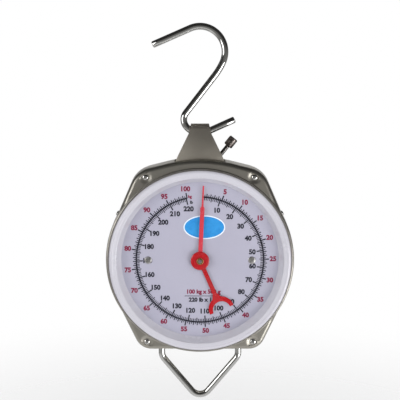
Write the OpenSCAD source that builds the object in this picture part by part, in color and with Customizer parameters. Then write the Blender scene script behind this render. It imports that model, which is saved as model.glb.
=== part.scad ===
// Hanging dial scale on an S-hook, with two springs, a rack and pinion and a load bail.
// The origin is where the S-hook hangs: the inner top of its upper bend. +Z is up and the dial
// faces -Y. Inside the modules, heights are measured from the pointer axis, through at_dial().

/* [S-hook] */
// Diameter of the hook's round bar
hook_bar_d = 8; // [7.6:0.1:8.2]
// Centreline radius of the upper bend
upper_bend_r = 28.9; // [28:0.1:30]
// Height of the hang point above the pointer axis
hang_height = 265.8; // [260:0.2:275]

/* [Casing] */
// Radius of the round part of the casing at its seam
casing_r = 111; // [110.6:0.1:112]
// Depth of the front panel in front of the load line
panel_depth = 26.5; // [26:0.1:27]
// Depth of the back face behind the load line
back_depth = 29; // [28.5:0.1:30]
// Thickness of the sheet steel
sheet = 1.2; // [1:0.1:1.3]

/* [Dial] */
// Radius of the dial plate
dial_r = 96; // [94:0.5:97]
// Radius of the part of the dial that shows
dial_window_r = 92; // [90:0.5:93]
// Outer radius of the bezel
bezel_r = 105.8; // [104:0.1:106.5]
// Depth of the bezel's crest in front of the load line
bezel_crest = 33; // [32.5:0.1:34]
// Reach of the pointer's needle from the axis
pointer_reach = 88; // [80:0.5:90]

/* [Springs] */
// Diameter of the spring wire
spring_wire_d = 4; // [3.4:0.1:4]
// Centreline radius of the coils
spring_r = 10; // [9.8:0.1:10]
// Number of coils
spring_turns = 18.5; // [16:0.5:19]
// Distance of each spring from the middle
spring_x = 30; // [29.5:0.1:30.5]

/* [Load bail] */
// Diameter of the bail's round bar
bail_bar_d = 8; // [7.6:0.1:8]
// Distance of each leg from the middle
leg_x = 46.5; // [46:0.1:48]
// Angle of the sloping arms from upright
arm_angle = 39.5; // [38:0.5:42]

/* [Zero adjuster] */
// Tilt of the adjusting screw from upright
zero_tilt = 39; // [38:0.5:40]
// Diameter of the screw's stem
zero_stem_d = 5; // [4.6:0.1:5]
// Diameter of the knurled knob
zero_knob_d = 10.8; // [10:0.1:12]

/* [Hidden] */
$fn = 48;

steel = [0.62, 0.62, 0.6];
bright_steel = [0.78, 0.79, 0.8];
brass = [0.8, 0.65, 0.3];
off_white = [0.85, 0.85, 0.9];

// Rack and pinion: 28.8 mm of rack travel turns the pointer by 344 degrees
gear_module = 0.6;
pinion_teeth = 16;

// Depths of the stack from dial to load line, and heights above the pointer axis
dial_front = -20;
dial_back = -19.2;
chassis_front = -16.5;
chassis_back = -14.5;
yoke_bottom = 86;
yoke_top = 98;
yoke_bolt = [14, 92];
chassis_screw = [38, 92];
upper_corner = [62.5, 98];
lower_corner = [62.5, -96.8];
corners = [
    [upper_corner[0], upper_corner[1]], [-upper_corner[0], upper_corner[1]],
    [lower_corner[0], lower_corner[1]], [-lower_corner[0], lower_corner[1]]
];
pocket_floor = back_depth - 3.7;
strap_gap = 14.5;
strap_t = 3;
fold_r = 6.5;
fold_z = 149.2;
dial_screw_x = 60.7;
pillar = [14, 15];
pinion_r = gear_module * pinion_teeth / 2;
pivot_z = -66;
bar_top = -54;
bar_bottom = -72;
bar_end = 36;
spring_low = -7;
spring_high = 84;
zero_start = [23.6, 121.6];
// Side screws: [angle round the casing, wall radius there, direction that the wall faces]
side_screw_places = [
    [29.2, casing_r - 0.6, 29.2], [150.8, casing_r - 0.6, 150.8],
    [214, casing_r + 0.15, 205.3], [326, casing_r + 0.15, 334.7]
];

// Helpers: placing at the pointer axis, and flat or turned shapes about the depth axis
module at_dial() {
    translate([0, 0, -hang_height]) children();
}

module plate_xz(y0, y1) {
    translate([0, y1, 0]) rotate([90, 0, 0]) linear_extrude(y1 - y0) children();
}

module plate_yz(x0, x1) {
    translate([x0, 0, 0]) rotate([90, 0, 90]) linear_extrude(x1 - x0) children();
}

module turned_y() {
    rotate([-90, 0, 0]) rotate_extrude($fn = 96) children();
}

module rod_y(r, y0, y1) {
    translate([0, y0, 0]) rotate([-90, 0, 0]) cylinder(r = r, h = y1 - y0);
}

module both_sides() {
    children();
    mirror([1, 0, 0]) children();
}

// A round bar bent in the XZ plane. It starts along +X. Each segment is
// [straight length, bend radius, turn in degrees], and a positive turn bends it upwards.
// The bends are a hair thinner than the straights, which reach a little way into them.
bend_thinning = 0.03;
bend_overlap = 0.2;

module bent_bar(segments, r, overlap_before = 0) {
    if (len(segments) > 0) {
        segment = segments[0];
        turn = abs(segment[2]);
        side = segment[2] < 0 ? -1 : 1;
        overlap_after = turn > 0 ? bend_overlap : 0;
        translate([-overlap_before, 0, 0]) rotate([0, 90, 0])
            cylinder(r = r, h = segment[0] + overlap_before + overlap_after);
        translate([segment[0], 0, 0]) {
            if (turn > 0)
                mirror([0, 0, side < 0 ? 1 : 0])
                    translate([0, 0, segment[1]]) rotate([90, 0, 0]) rotate([0, 0, -90])
                        rotate_extrude(angle = turn)
                            translate([segment[1], 0]) circle(r = r - bend_thinning);
            translate([segment[1] * sin(turn), 0, side * segment[1] * (1 - cos(turn))])
                rotate([0, -segment[2], 0])
                    bent_bar([for (i = [1 : 1 : len(segments) - 1]) segments[i]], r, bend_overlap);
        }
    }
}

module bar_end_chamfer(r) {
    rotate([0, -90, 0]) cylinder(r1 = r, r2 = r - 0.9, h = 0.9);
}

// Casing outline: straight tangents between discs [x, z, radius, facets], listed counterclockwise
outline_discs = [
    [0, 0, casing_r - 0.6, 1], [51.8, 79.3, 31, 7], [0, -31, 150.5, 10],
    [-51.8, 79.3, 31, 7], [0, 0, casing_r - 0.6, 1], [-57.4, -86.7, 21.5, 8],
    [57.4, -86.7, 21.5, 8]
];

function tangent_angle(a, b) =
    let (step = [b[0] - a[0], b[1] - a[1]])
    atan2(step[1], step[0]) - 90 + asin((a[2] - b[2]) / norm(step));

function turn_between(from, to) = ((to - from) % 360 + 360) % 360;

function outline(inset) =
    let (n = len(outline_discs))
    [for (i = [0 : n - 1])
        let (disc = outline_discs[i])
        let (first = tangent_angle(outline_discs[(i + n - 1) % n], disc))
        let (sweep = turn_between(first, tangent_angle(disc, outline_discs[(i + 1) % n])))
        for (k = [0 : disc[3]])
            let (angle = first + sweep * k / disc[3])
            [disc[0] + (disc[2] - inset) * cos(angle), disc[1] + (disc[2] - inset) * sin(angle)]
    ];

module outline_2d(inset) {
    polygon(outline(inset));
    circle(r = casing_r - inset, $fn = 96);
}

// A pan whose walls lean in towards its face. Each level is [depth, inset, inset of the round part].
module pan(levels) {
    hull()
        for (level = levels)
            plate_xz(level[0] - 0.005, level[0] + 0.005) polygon(outline(level[1]));
    turned_y()
        polygon(concat([[0, levels[0][0]]],
                       [for (level = levels) [casing_r - level[2], level[0]]],
                       [[0, levels[len(levels) - 1][0]]]));
}

module bail_slots() {
    both_sides()
        translate([leg_x, 0, -113]) {
            translate([-4.9, -6.4, 0]) cube([9.8, 12.8, 12]);
            translate([0, -6.4, 0]) cylinder(r = 4.9, h = 12);
            translate([0, 6.4, 0]) cylinder(r = 4.9, h = 12);
        }
}

module strap_slot() {
    translate([-29.6, -18.6, 104]) cube([59.2, 37.2, 20]);
}

module at_side_screws() {
    for (place = side_screw_places)
        translate([place[1] * cos(place[0]), -8, place[1] * sin(place[0])])
            rotate([0, -place[2], 0]) rotate([0, 90, 0]) children();
}

module at_corners() {
    for (corner = corners) translate([corner[0], 0, corner[1]]) children();
}

// A pan-head screw along Y whose head's underside is at y, with the shank running towards +Y
module pan_screw(y, head_r, head_h, shank_r, shank_l) {
    difference() {
        union() {
            rod_y(shank_r, y, y + shank_l);
            translate([0, y, 0]) rotate([90, 0, 0])
                cylinder(r1 = head_r, r2 = head_r * 0.72, h = head_h);
        }
        translate([-head_r * 0.5, y - head_h - 0.1, -0.4]) cube([head_r, head_h * 0.6, 0.8]);
        translate([-0.4, y - head_h - 0.1, -head_r * 0.5]) cube([0.8, head_h * 0.6, head_r]);
    }
}

// ---- Suspension ----
module s_hook() {
    bar_r = hook_bar_d / 2;
    entry = 66.75;
    free_arm = 46.4;
    color(bright_steel)
        translate([-upper_bend_r * cos(entry), 0,
                   bar_r - upper_bend_r * (1 - sin(entry))])
            rotate([0, -(90 - entry), 0]) translate([-free_arm, 0, 0]) {
                bar_end_chamfer(bar_r);
                bent_bar([[free_arm, upper_bend_r, -139.5], [1, 74.7, -11.7], [54.6, 13, 85.3],
                          [1, 21.2, 66.8], [34.4, 0, 0]], bar_r);
            }
}

module neck_strap() {
    top_w = 10.2;
    shoulder_w = 12.9;
    foot_w = 28.4;
    slope = 16.1;
    foot_z = 84;
    outer_r = fold_r + strap_t;
    inner_run = (strap_gap - fold_r * cos(slope)) / sin(slope);
    outer_run = (strap_gap + strap_t - outer_r * cos(slope)) / sin(slope);
    arc = [for (i = [0 : 24]) slope + (180 - 2 * slope) * i / 24];
    profile = concat(
        [[strap_gap + strap_t, foot_z],
         [strap_gap + strap_t, fold_z + outer_r * sin(slope) - outer_run * cos(slope)]],
        [for (a = arc) [outer_r * cos(a), fold_z + outer_r * sin(a)]],
        [[-strap_gap - strap_t, fold_z + outer_r * sin(slope) - outer_run * cos(slope)],
         [-strap_gap - strap_t, foot_z], [-strap_gap, foot_z],
         [-strap_gap, fold_z + fold_r * sin(slope) - inner_run * cos(slope)]],
        [for (i = [24 : -1 : 0]) [fold_r * cos(arc[i]), fold_z + fold_r * sin(arc[i])]],
        [[strap_gap, fold_z + fold_r * sin(slope) - inner_run * cos(slope)],
         [strap_gap, foot_z]]);
    front = [[shoulder_w, 147.8], [foot_w, 116], [foot_w, 80], [-foot_w, 80], [-foot_w, 116],
             [-shoulder_w, 147.8], [-top_w, 160], [top_w, 160]];
    color(steel) at_dial()
        difference() {
            intersection() {
                plate_yz(-30, 30) polygon(profile);
                plate_xz(-20, 20) polygon(front);
            }
            both_sides()
                translate([yoke_bolt[0], 0, yoke_bolt[1]]) rod_y(3.05, -20, 20);
        }
}

module yoke_bolts() {
    color(steel) at_dial()
        both_sides()
            translate([yoke_bolt[0], 0, yoke_bolt[1]]) {
                rod_y(3, -strap_gap - strap_t, strap_gap + strap_t);
                translate([0, strap_gap + strap_t, 0]) rotate([-90, 0, 0])
                    cylinder(r = 5.7, h = 4, $fn = 6);
            }
}

module upper_yoke() {
    color("gray") at_dial()
        difference() {
            translate([-46, -strap_gap, yoke_bottom])
                cube([92, 2 * strap_gap, yoke_top - yoke_bottom]);
            both_sides() {
                translate([spring_x, 0, yoke_bottom - 1]) cylinder(r = 3.1, h = 14);
                translate([yoke_bolt[0], 0, yoke_bolt[1]]) rod_y(3.05, -20, 20);
                translate([chassis_screw[0], 0, chassis_screw[1]]) rod_y(1.65, -20, -4);
            }
        }
}

// ---- Frame inside the casing ----
module chassis_plate() {
    color("silver") at_dial()
        difference() {
            plate_xz(chassis_front, chassis_back)
                difference() {
                    union() {
                        circle(r = 98, $fn = 96);
                        hull() {
                            translate(corners[0]) circle(r = 6, $fn = 32);
                            translate(corners[3]) circle(r = 6, $fn = 32);
                        }
                        hull() {
                            translate(corners[1]) circle(r = 6, $fn = 32);
                            translate(corners[2]) circle(r = 6, $fn = 32);
                        }
                        translate([-50, 60]) square([100, 41]);
                    }
                    translate([-29, 83]) square([58, 30]);
                }
            rod_y(4.5, -20, 0);
            at_corners() rod_y(1.7, -20, 0);
            both_sides() {
                translate([chassis_screw[0], 0, chassis_screw[1]]) rod_y(1.7, -20, 0);
                translate([dial_screw_x, 0, 0]) rod_y(1.7, -20, 0);
            }
        }
}

module chassis_screws() {
    color(steel) at_dial()
        both_sides()
            translate([chassis_screw[0], 0, chassis_screw[1]])
                pan_screw(chassis_front, 3.4, 1.7, 1.6, 11);
}

module front_posts() {
    color(steel) at_dial()
        at_corners()
            difference() {
                rod_y(3, -panel_depth + sheet, chassis_front);
                rod_y(1.65, -panel_depth, chassis_front + 1);
            }
}

module rear_posts() {
    color(steel) at_dial()
        at_corners()
            difference() {
                union() {
                    rod_y(3.5, chassis_back, pocket_floor);
                    rod_y(1.6, chassis_back - 6, chassis_back);
                }
                rod_y(1.65, pocket_floor - 9, pocket_floor + 1);
            }
}

// ---- Casing ----
module front_shell() {
    bead_r = 1.2;
    color(steel) at_dial()
        difference() {
            union() {
                difference() {
                    pan([[-panel_depth, 5, 3.4], [-panel_depth + 1, 4.2, 2.4], [-21, 1.5, 1.6],
                         [0, 0, 0]]);
                    pan([[-panel_depth + sheet, 5 + sheet, 3.6 + sheet],
                         [-20.6, 1.5 + sheet, 1.7 + sheet], [0.01, sheet, sheet]]);
                }
                turned_y()
                    translate([casing_r - 3.9, -panel_depth + 0.2]) circle(r = bead_r, $fn = 24);
            }
            rod_y(99.5, -panel_depth - 1, -20, $fn = 96);
            at_corners() rod_y(1.75, -panel_depth - 1, -20);
            strap_slot();
            bail_slots();
            at_side_screws() translate([0, 0, -7]) cylinder(r = 1.7, h = 12);
        }
}

module rear_shell() {
    lip_out = 2.6;
    lip_in = lip_out + sheet;
    color(steel) at_dial()
        difference() {
            union() {
                difference() {
                    pan([[0.2, 0, 0], [back_depth - 4, 1, 1], [back_depth, 3.5, 3.5]]);
                    pan([[0.19, sheet, sheet], [back_depth - 4.6, 1 + sheet, 1 + sheet],
                         [back_depth - sheet, 3.5 + sheet, 3.5 + sheet]]);
                }
                plate_xz(-13, 3)
                    difference() {
                        outline_2d(lip_out);
                        outline_2d(lip_in);
                    }
                plate_xz(0.4, 3)
                    difference() {
                        outline_2d(0.9);
                        outline_2d(lip_in);
                    }
                at_corners() rod_y(5.8, pocket_floor, back_depth - 0.1);
            }
            at_corners() {
                rod_y(4.6, pocket_floor + sheet, back_depth + 1);
                rod_y(1.75, pocket_floor - 1, back_depth);
            }
            strap_slot();
            bail_slots();
            at_side_screws() translate([0, 0, -8]) cylinder(r = 1.5, h = 7);
        }
}

module front_corner_screws() {
    color(bright_steel) at_dial()
        at_corners() pan_screw(-panel_depth - 0.02, 3.3, 1.6, 1.6, 5);
}

module rear_corner_screws() {
    color(bright_steel) at_dial()
        for (corner = corners)
            translate([corner[0], 0, corner[1]])
                mirror([0, 1, 0]) pan_screw(-pocket_floor - sheet, 3.3, 1.6, 1.6, 8);
}

module side_screws() {
    head_gap = 0.35;
    color(bright_steel) at_dial()
        at_side_screws() {
            translate([0, 0, head_gap]) cylinder(r1 = 3, r2 = 2.2, h = 1.4);
            translate([0, 0, head_gap - 7.6]) cylinder(r = 1.4, h = 7.6);
        }
}

module bezel_ring() {
    flange_back = -panel_depth - 0.05;
    color(off_white) at_dial()
        turned_y()
            polygon([
                [dial_window_r, dial_front - 0.05], [97.3, -30], [98.7, -30], [98.7, -32.3],
                [99.4, -bezel_crest], [102.2, -bezel_crest], [104.2, -32.2], [105.3, -30.6],
                [bezel_r, -28.4], [bezel_r, flange_back], [99.3, flange_back], [99.3, -25],
                [96.4, -25], [94.2, dial_front - 0.05]
            ]);
}

module lens() {
    color([0.8, 0.85, 0.9, 0.3]) at_dial() rod_y(98.5, -31.5, -30, $fn = 96);
}

module lens_retainer() {
    color(off_white) at_dial()
        turned_y() polygon([[97, -31.5], [98.6, -31.5], [98.6, -32.3], [97.4, -32.3]]);
}

// ---- Dial ----
module dial_plate() {
    color(off_white) at_dial()
        difference() {
            rod_y(dial_r, dial_front, dial_back, $fn = 96);
            rod_y(6, -21, -18);
            both_sides() translate([dial_screw_x, 0, 0]) rod_y(1.7, -21, -18);
        }
}

module dial_posts() {
    color("silver") at_dial()
        both_sides()
            translate([dial_screw_x, 0, 0])
                difference() {
                    rod_y(4, dial_back, chassis_front);
                    rod_y(1.7, dial_back - 1, chassis_front + 1);
                }
}

module dial_screws() {
    color(bright_steel) at_dial()
        both_sides() translate([dial_screw_x, 0, 0]) pan_screw(dial_front, 4.4, 1.5, 1.6, 7);
}

// ---- Movement ----
module flanged_bush(y0, y1, flange_y, hole_r, flange_r) {
    difference() {
        union() {
            rod_y(hole_r, y0, y1);
            rod_y(flange_r, flange_y, flange_y + 1.2);
        }
        rod_y(2.04, y0 - 1, y1 + 1);
    }
}

module front_bush() {
    color(brass) at_dial() flanged_bush(-18.4, -13.3, chassis_back, 4.45, 6.5);
}

module rear_bush() {
    color(brass) at_dial() flanged_bush(2, 6.2, 5, 4.45, 6);
}

module movement_plate() {
    color("silver") at_dial()
        difference() {
            translate([-17, 3, -19]) cube([34, 2, 38]);
            rod_y(4.5, 0, 8);
            for (x = [-1, 1], z = [-1, 1])
                translate([x * pillar[0], 0, z * pillar[1]]) rod_y(1.3, 0, 8);
        }
}

module at_pillars() {
    for (x = [-1, 1], z = [-1, 1]) translate([x * pillar[0], 0, z * pillar[1]]) children();
}

module movement_pillars() {
    color("silver") at_dial()
        at_pillars()
            difference() {
                rod_y(2.5, chassis_back, 3);
                rod_y(1.25, -7, 4);
            }
}

module movement_screws() {
    color(steel) at_dial()
        at_pillars() mirror([0, 1, 0]) pan_screw(-5, 2.4, 1.4, 1.2, 10);
}

module rack_guide() {
    color("white") at_dial() translate([10.56, chassis_back, -7]) cube([2.6, 7, 14]);
}

module arbor() {
    color(steel) at_dial() rod_y(2, -27.8, 7.4);
}

// Involute tooth form, 20 degree pressure angle, with a little backlash
pressure_angle = 20;
backlash = 0.06;
base_r = pinion_r * cos(pressure_angle);
tooth_pitch = PI * gear_module;
half_tooth = (tooth_pitch / 2 - backlash) / 2;
tip_r = pinion_r + 0.55;
root_r = pinion_r - 0.8;
rack_addendum = 0.5;
rack_dedendum = 0.72;

function roll(r) = sqrt(max(0, pow(r / base_r, 2) - 1));
function involute(r) = roll(r) * 180 / PI - atan(roll(r));
function flank_angle(r) = half_tooth / pinion_r * 180 / PI + involute(pinion_r) - involute(r);

module pinion() {
    radii = [root_r, base_r, 4.62, 4.75, 4.88, 5.03, 5.18, tip_r];
    steps = len(radii);
    color(brass) at_dial()
        difference() {
            union() {
                plate_xz(-12.5, -7.5)
                    polygon([for (tooth = [0 : pinion_teeth - 1])
                        for (k = [0 : 2 * steps - 1])
                            let (rising = k < steps)
                            let (r = radii[rising ? k : 2 * steps - 1 - k])
                            let (angle = 360 * tooth / pinion_teeth
                                         + (rising ? -1 : 1) * flank_angle(max(r, base_r)))
                            [r * cos(angle), r * sin(angle)]
                    ]);
                rod_y(3.6, -7.5, -4);
            }
            rod_y(2, -13, -3);
        }
}

module rack() {
    teeth_low = -3;
    teeth_high = 18;
    back = 10.5;
    slope = tan(pressure_angle);
    top_z = (teeth_high + 1) * tooth_pitch + 0.6;
    tip_x = pinion_r - rack_addendum;
    root_x = pinion_r + rack_dedendum;
    tip_half = half_tooth - rack_addendum * slope;
    root_half = half_tooth + rack_dedendum * slope;
    color(brass) at_dial()
        difference() {
            plate_xz(-12, -8)
                polygon(concat(
                    [[back, bar_bottom + 1], [back, top_z], [root_x, top_z]],
                    [for (i = [teeth_high : -1 : teeth_low])
                        for (corner = [[root_x, root_half], [tip_x, tip_half],
                                       [tip_x, -tip_half], [root_x, -root_half]])
                            [corner[0], (i + 0.5) * tooth_pitch + corner[1]]],
                    [[root_x, bar_bottom + 1]]));
            for (z = [-58.5, -67.5]) translate([8, 0, z]) rod_y(1.3, -13, -7);
        }
}

module rack_screws() {
    color(steel) at_dial()
        for (z = [-58.5, -67.5]) translate([8, 0, z]) pan_screw(-12, 2.3, 1.5, 1.25, 10);
}

// ---- Pointer ----
pointer_turn = 2.6;
tail_turn = 156.5;

module pointer_hub() {
    color([0.67, 0.05, 0.08]) at_dial()
        difference() {
            rod_y(10.9, -25.2, -23.6);
            rod_y(2, -26, -23);
        }
}

module pointer() {
    color([0.85, 0.12, 0.12]) at_dial()
        rotate([0, pointer_turn, 0])
            difference() {
                plate_xz(-23.6, -22.8) {
                    circle(r = 7);
                    polygon([[-2.5, 0], [2.5, 0], [2.4, 62], [1.1, 64.5], [0.9, pointer_reach],
                             [-0.9, pointer_reach], [-1.1, 64.5], [-2.4, 62]]);
                }
                rod_y(2.03, -24, -22);
            }
}

module pointer_tail() {
    fork_z = 63.8;
    fork_r = 12.6;
    color([0.7, 0.06, 0.1]) at_dial()
        rotate([0, tail_turn, 0])
            difference() {
                plate_xz(-22.8, -22) {
                    circle(r = 7);
                    translate([-2.5, 0]) square([5, fork_z - 12]);
                    polygon([[-2.5, 43], [2.5, 43], [6, 50], [-6, 50]]);
                    translate([0, fork_z])
                        difference() {
                            translate([0, -0.8]) circle(r = fork_r + 2.4);
                            translate([0, 0.6]) circle(r = fork_r - 2.2);
                            translate([-20, 0.5]) square([40, 20]);
                        }
                }
                rod_y(2.03, -24, -21);
            }
}

module pointer_nut() {
    color(brass) at_dial()
        difference() {
            rod_y(3.9, -27.2, -25.2);
            rod_y(2, -28, -25);
        }
}

// ---- Springs and load bar ----
module coil_spring() {
    rings_per_turn = 12;
    sides = 6;
    wire_r = spring_wire_d / 2;
    low = spring_low + wire_r + 0.2;
    high = spring_high - wire_r - 0.2;
    n = floor(spring_turns * rings_per_turn);
    points = [for (i = [0 : n], k = [0 : sides - 1])
        let (turn = i * 360 / rings_per_turn)
        let (r = spring_r + wire_r * cos(k * 360 / sides))
        [r * cos(turn), r * sin(turn), low + (high - low) * i / n + wire_r * sin(k * 360 / sides)]
    ];
    walls = [for (i = [0 : n - 1], k = [0 : sides - 1])
        let (a = i * sides + k)
        let (b = i * sides + (k + 1) % sides)
        for (face = [[a, a + sides, b], [b, a + sides, b + sides]]) face
    ];
    ends = [[for (k = [0 : sides - 1]) k], [for (k = [sides - 1 : -1 : 0]) n * sides + k]];
    polyhedron(points, concat(walls, ends));
}

module left_spring() {
    color("dimgray") at_dial() translate([-spring_x, 0, 0]) coil_spring();
}

module right_spring() {
    color("dimgray") at_dial() translate([spring_x, 0, 0]) coil_spring();
}

module upper_spring_plugs() {
    color(steel) at_dial()
        both_sides()
            translate([spring_x, 0, 0]) {
                translate([0, 0, spring_high - 12]) cylinder(r = 7.6, h = 12);
                translate([0, 0, spring_high]) cylinder(r = 11.5, h = yoke_bottom - spring_high);
                translate([0, 0, yoke_bottom]) cylinder(r = 3, h = 19);
            }
}

module upper_plug_nuts() {
    color(bright_steel) at_dial()
        both_sides()
            translate([spring_x, 0, yoke_top])
                difference() {
                    cylinder(r = 5.7, h = 5, $fn = 6);
                    translate([0, 0, -1]) cylinder(r = 3.02, h = 7);
                }
}

module lower_spring_plugs() {
    color(steel) at_dial()
        both_sides()
            translate([spring_x, 0, 0]) {
                translate([0, 0, spring_low]) cylinder(r = 7.6, h = 12);
                translate([0, 0, spring_low - 2]) cylinder(r = 11.5, h = 2);
                translate([0, 0, bar_top - 6.5]) cylinder(r = 3, h = spring_low - bar_top + 5);
            }
}

module lower_crossbar() {
    color("gray") at_dial()
        difference() {
            translate([-bar_end, -8, bar_bottom]) cube([2 * bar_end, 16, bar_top - bar_bottom]);
            both_sides() {
                translate([bar_end - 9.4, 0, pivot_z]) rotate([0, 90, 0])
                    cylinder(r = bail_bar_d / 2 + 0.06, h = 12);
                translate([spring_x, 0, bar_top - 7]) cylinder(r = 3.02, h = 8);
            }
            for (z = [-58.5, -67.5]) translate([8, 0, z]) rod_y(1.3, -9, 0);
        }
}

module load_bail() {
    bar_r = bail_bar_d / 2;
    stub = 9;
    top_bend = 8;
    arm_bend = 14;
    low_bend = 13.1;
    leg = 44.1;
    arm = (leg_x - arm_bend * (1 - cos(arm_angle)) - low_bend * cos(arm_angle)) / sin(arm_angle);
    color(bright_steel) at_dial()
        translate([-leg_x + top_bend + stub, 0, pivot_z]) rotate([0, 180, 0])
            bent_bar([[stub, top_bend, 90], [leg, arm_bend, arm_angle],
                      [arm, low_bend, 180 - 2 * arm_angle], [arm, arm_bend, arm_angle],
                      [leg, top_bend, 90], [stub, 0, 0]], bar_r);
}

// ---- Zero adjuster: a knurled screw that draws a nut along between two cheeks ----
module along_zero_axis() {
    translate([zero_start[0], 0, zero_start[1]]) rotate([0, zero_tilt, 0]) children();
}

module zero_bracket() {
    color("silver") at_dial()
        difference() {
            union() {
                for (y = [-8.2, 5.6])
                    translate([2, y, yoke_top]) cube([21, 2.6, 13]);
                intersection() {
                    along_zero_axis() translate([-6, -8.2, -17]) cube([12, 16.4, 8]);
                    translate([0, -9, yoke_top]) cube([24, 18, 20]);
                }
            }
            along_zero_axis() translate([0, 0, -40]) cylinder(r = zero_stem_d / 2 + 0.05, h = 60);
        }
}

module zero_screw() {
    color(bright_steel) at_dial()
        along_zero_axis() {
            translate([0, 0, -26]) cylinder(r = zero_stem_d / 2, h = 44);
            translate([0, 0, -8.9]) cylinder(r = 4, h = 1.6);
        }
}

module zero_knob() {
    ridges = 26;
    depth = 0.35;
    color([0.5, 0.46, 0.44]) at_dial()
        along_zero_axis()
            translate([0, 0, 14])
                difference() {
                    linear_extrude(12)
                        polygon([for (i = [0 : 2 * ridges - 1])
                            let (r = zero_knob_d / 2 - (i % 2) * depth)
                            [r * cos(180 * i / ridges), r * sin(180 * i / ridges)]
                        ]);
                    translate([0, 0, -1]) cylinder(r = zero_stem_d / 2 + 0.01, h = 5.01);
                }
}

module zero_nut() {
    color(brass) at_dial()
        along_zero_axis()
            difference() {
                translate([-4.5, -5.4, -22.4]) cube([9, 10.8, 4]);
                translate([0, 0, -30]) cylinder(r = zero_stem_d / 2 + 0.05, h = 20);
            }
}

s_hook();
neck_strap();
yoke_bolts();
upper_yoke();
chassis_plate();
chassis_screws();
front_posts();
rear_posts();
front_shell();
rear_shell();
front_corner_screws();
rear_corner_screws();
side_screws();
bezel_ring();
lens();
lens_retainer();
dial_plate();
dial_posts();
dial_screws();
front_bush();
movement_plate();
movement_pillars();
movement_screws();
rear_bush();
rack_guide();
arbor();
pinion();
pointer_hub();
pointer();
pointer_tail();
pointer_nut();
rack();
rack_screws();
lower_crossbar();
left_spring();
right_spring();
upper_spring_plugs();
upper_plug_nuts();
lower_spring_plugs();
load_bail();
zero_bracket();
zero_screw();
zero_knob();
zero_nut();
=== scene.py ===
import math

import bpy
from mathutils import Matrix, Vector


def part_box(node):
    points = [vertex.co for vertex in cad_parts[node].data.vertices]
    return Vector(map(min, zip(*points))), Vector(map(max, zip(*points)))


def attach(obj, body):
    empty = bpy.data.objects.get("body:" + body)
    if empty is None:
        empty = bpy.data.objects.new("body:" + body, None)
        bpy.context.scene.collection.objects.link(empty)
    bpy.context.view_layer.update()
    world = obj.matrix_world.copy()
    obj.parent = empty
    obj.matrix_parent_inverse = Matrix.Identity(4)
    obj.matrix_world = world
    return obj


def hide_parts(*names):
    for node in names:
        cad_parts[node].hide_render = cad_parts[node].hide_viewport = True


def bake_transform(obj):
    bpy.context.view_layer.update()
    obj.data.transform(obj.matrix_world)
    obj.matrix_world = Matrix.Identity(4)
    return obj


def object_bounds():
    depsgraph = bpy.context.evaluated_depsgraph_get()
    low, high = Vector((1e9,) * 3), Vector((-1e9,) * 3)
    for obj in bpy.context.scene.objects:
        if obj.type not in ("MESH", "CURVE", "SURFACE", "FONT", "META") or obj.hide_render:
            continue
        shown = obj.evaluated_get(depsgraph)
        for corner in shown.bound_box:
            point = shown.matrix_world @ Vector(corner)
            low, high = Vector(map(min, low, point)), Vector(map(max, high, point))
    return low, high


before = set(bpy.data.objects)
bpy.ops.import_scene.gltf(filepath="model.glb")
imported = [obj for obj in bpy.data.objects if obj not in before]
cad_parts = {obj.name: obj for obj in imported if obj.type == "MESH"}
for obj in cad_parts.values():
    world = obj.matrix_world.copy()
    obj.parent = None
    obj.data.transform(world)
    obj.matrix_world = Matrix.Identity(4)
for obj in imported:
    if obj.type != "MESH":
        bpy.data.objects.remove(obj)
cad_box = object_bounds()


# ---- Camera ----
# It stands 0.8 m in front of the load line, 170 mm above the pointer axis, and looks slightly
# down at the dial.

mm = 0.001
hub_low, hub_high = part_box("pointer_hub")
axis_z = (hub_low.z + hub_high.z) / 2
camera_away, camera_above, camera_pitch = 0.80175, 0.16989, 82.79
camera_data = bpy.data.cameras.new("camera")
camera_data.lens = 61.3
camera_data.sensor_width = 36
camera = bpy.data.objects.new("camera", camera_data)
camera.location = (0, -camera_away, axis_z + camera_above)
camera.rotation_euler = (math.radians(camera_pitch), 0, 0)
bpy.context.scene.collection.objects.link(camera)
bpy.context.scene.camera = camera


# ---- S-hook ----
# One length of 8 mm round bar, cold bent into an open upper hook and a tighter lower one.
# It is polished, then chrome plated, and both cut ends are chamfered.

bar_r = 4 * mm
end_chamfer = 0.9 * mm
bar_sides = 28
ring_spacing = 12 * mm
ring_turn = math.radians(4)
merge_gap = 0.002 * mm


def wire(tree, kind, inputs, **properties):
    """Adds a shader node. Each input is set to a value or joined to another node's output."""
    made = tree.nodes.new("ShaderNode" + kind)
    for key, value in properties.items():
        setattr(made, key, value)
    for key, value in inputs.items():
        if isinstance(value, bpy.types.NodeSocket):
            tree.links.new(value, made.inputs[key])
        else:
            made.inputs[key].default_value = value
    return made


def effect(name, inputs, outputs):
    """An empty node group with named inputs and outputs."""
    tree = bpy.data.node_groups.new(name, "ShaderNodeTree")
    for socket, kind, value in inputs:
        made = tree.interface.new_socket(socket, in_out="INPUT", socket_type="NodeSocket" + kind)
        made.default_value = value
    for socket, kind in outputs:
        tree.interface.new_socket(socket, in_out="OUTPUT", socket_type="NodeSocket" + kind)
    return tree, tree.nodes.new("NodeGroupInput"), tree.nodes.new("NodeGroupOutput")


def make_grain():
    """Fine lines or specks, drawn out along an axis by unequal stretch."""
    tree, given, result = effect("surface_grain", [("Stretch", "Vector", (900, 900, 900))],
                                 [("Grain", "Float")])
    place = wire(tree, "TexCoord", {})
    scaled = wire(tree, "VectorMath", {0: place.outputs["Object"], 1: given.outputs["Stretch"]},
                  operation="MULTIPLY")
    noise = wire(tree, "TexNoise", {"Vector": scaled.outputs[0], "Scale": 1.0, "Detail": 4.0})
    tree.links.new(noise.outputs["Fac"], result.inputs["Grain"])
    return tree


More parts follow.
